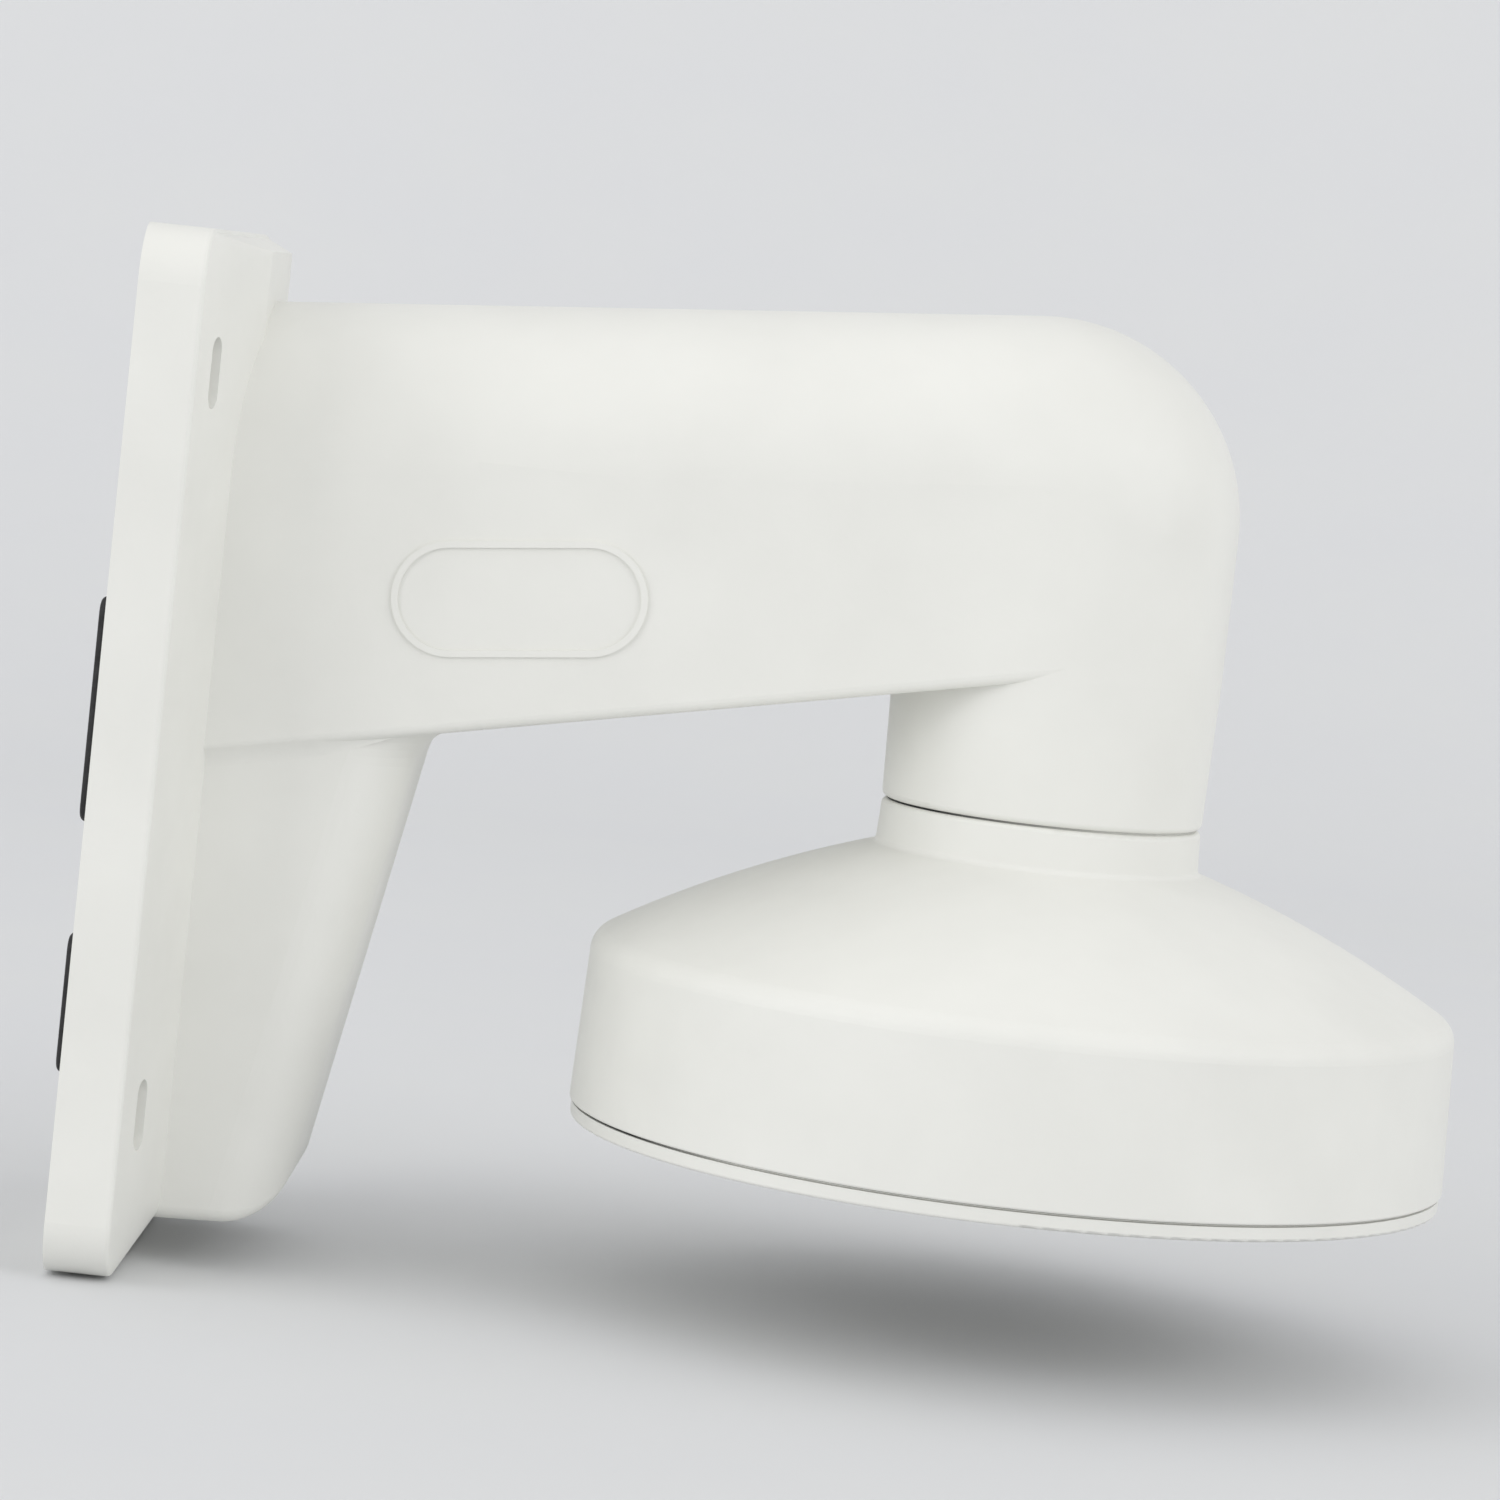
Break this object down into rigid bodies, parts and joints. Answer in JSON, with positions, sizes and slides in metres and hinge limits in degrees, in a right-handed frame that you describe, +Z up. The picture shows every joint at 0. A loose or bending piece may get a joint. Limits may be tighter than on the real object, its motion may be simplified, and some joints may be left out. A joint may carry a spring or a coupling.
{
  "type": "wall bracket",
  "caption": "White cast wall bracket for a dome camera: slotted wall plate, round-topped hollow arm with a gusset, elbow, neck and a round mounting cap with an adapter ring.",
  "frame": {"origin": "in the middle of the flat back face of the wall plate", "axes": "+X out from the wall along the arm, +Y across the plate, +Z up"},
  "size_m": [0.2127, 0.135, 0.156],
  "materials": {
    "body_coat": "satin white powder coat on cast aluminium",
    "cap_coat": "satin white powder coat on cast aluminium",
    "ring_coat": "satin white powder coat on aluminium",
    "cover_coat": "satin white powder coat on aluminium sheet",
    "rubber": "matt black moulded rubber",
    "steel": "stainless steel"
  },
  "bodies": {
    "root": {"bracket_body": "body_coat", "mounting_cap": "cap_coat", "adapter_ring": "ring_coat", "rear_cover": "cover_coat", "rear_seal": "rubber", "rear_cover_screws": "steel", "cable_grommet": "rubber", "blanking_plug": "rubber", "neck_gasket": "rubber", "neck_screws": "steel", "neck_washers": "steel", "rim_seal": "rubber", "ring_screws": "steel", "tether_eye": "steel"}
  },
  "joints": []
}
